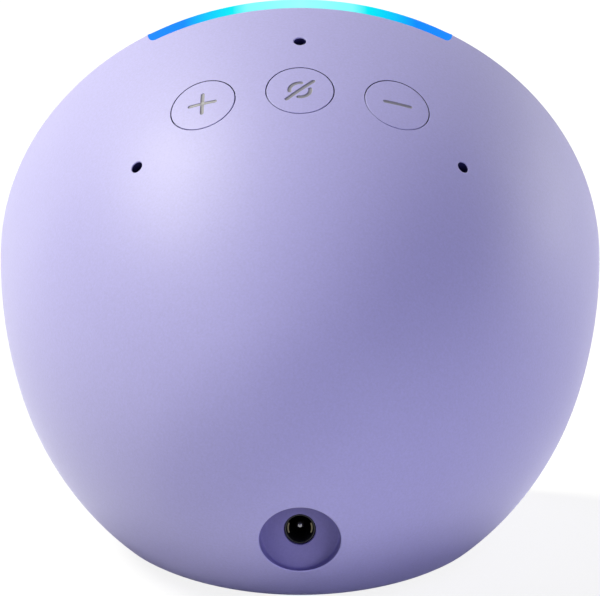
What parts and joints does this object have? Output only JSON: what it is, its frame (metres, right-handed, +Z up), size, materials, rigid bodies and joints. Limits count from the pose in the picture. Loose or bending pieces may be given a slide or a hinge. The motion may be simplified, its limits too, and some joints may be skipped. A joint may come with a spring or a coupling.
{
  "type": "smart speaker",
  "caption": "Compact domed smart speaker with a leaning round fabric face, a light bar on the rim, top buttons, microphone holes and a rear power inlet.",
  "frame": {"origin": "on the table plane, under the middle of the body's bounding box", "axes": "+Z up, the fabric face looks along -Y, the power inlet faces +Y, +X is the side of the volume-up button"},
  "size_m": [0.099, 0.083, 0.091],
  "materials": {
    "shell": "satin soft-touch moulding",
    "frame_black": "moulded black",
    "base_purple": "moulded",
    "fabric": "knitted cover, stretched",
    "light": "frosted light guide, lit",
    "white_plastic": "white reflector",
    "board": "glass-fibre board with solder mask",
    "flex": "polyimide film",
    "led": "clear package",
    "chip": "moulded epoxy",
    "silicone": "soft silicone",
    "foot_rubber": "matt, fine texture",
    "steel": "plated",
    "can": "tinned",
    "aluminium": "raw",
    "ferrite": "sintered",
    "basket": "powder coat",
    "cone_paper": "coated pulp",
    "surround_rubber": "soft rubber",
    "copper": "enamelled copper",
    "spider_cloth": "impregnated cloth",
    "contact": "plated spring bronze",
    "pad": "gap filler",
    "wire_red": "insulation",
    "wire_black": "insulation",
    "foil": "flexible antenna foil"
  },
  "bodies": {
    "body": {"rear_shell": "shell", "front_frame": "frame_black", "fabric_cover": "fabric", "light_bar": "light", "light_reflector": "white_plastic", "led_board": "board", "leds": "led", "button_membrane": "silicone", "button_board": "flex", "button_switches": "chip", "mic_gaskets": "silicone", "microphones": "can", "mic_boards": "board", "front_baffle": "frame_black", "baffle_screws": "steel", "speaker_box": "frame_black", "driver_gasket": "silicone", "driver_basket": "basket", "driver_screws": "steel", "driver_top_plate": "steel", "driver_magnet": "ferrite", "driver_yoke": "steel", "driver_surround": "surround_rubber", "driver_spider": "spider_cloth", "main_board": "board", "board_screws": "steel", "board_chips": "chip", "board_connectors": "white_plastic", "shield_can": "can", "thermal_pad": "pad", "heat_spreader": "aluminium", "antennas": "foil", "power_jack": "chip", "jack_pin": "steel", "jack_contacts": "contact", "jack_board": "board", "jack_screws": "steel", "base_plate": "base_purple", "base_screws": "steel", "rubber_foot": "foot_rubber", "button_ribbon": "flex", "speaker_wires": "wire_red", "power_wires": "wire_black", "wire_grommet": "silicone"},
    "volume_up": {"volume_up_button": "shell", "volume_up_plunger": "chip"},
    "mic_off": {"mic_off_button": "shell", "mic_off_plunger": "chip"},
    "volume_down": {"volume_down_button": "shell", "volume_down_plunger": "chip"},
    "cone": {"driver_cone": "cone_paper", "dust_cap": "cone_paper", "voice_coil": "copper"}
  },
  "joints": [
    {"name": "volume_up_press", "type": "slide", "parent": "body", "child": "volume_up", "axis": [-0.3328, -0.4045, -0.8519], "range_m": [0, 0.0004], "stiffness_N_per_m": 500, "deforming": ["button_membrane"]},
    {"name": "mic_off_press", "type": "slide", "parent": "body", "child": "mic_off", "axis": [0, -0.4185, -0.9082], "range_m": [0, 0.0004], "stiffness_N_per_m": 500, "deforming": ["button_membrane"]},
    {"name": "volume_down_press", "type": "slide", "parent": "body", "child": "volume_down", "axis": [0.3328, -0.4045, -0.8519], "range_m": [0, 0.0004], "stiffness_N_per_m": 500, "deforming": ["button_membrane"]},
    {"name": "cone_travel", "type": "slide", "parent": "body", "child": "cone", "axis": [0, -0.9703, 0.2419], "range_m": [-0.0015, 0.0015], "stiffness_N_per_m": 1500, "deforming": ["driver_surround", "driver_spider"]}
  ]
}
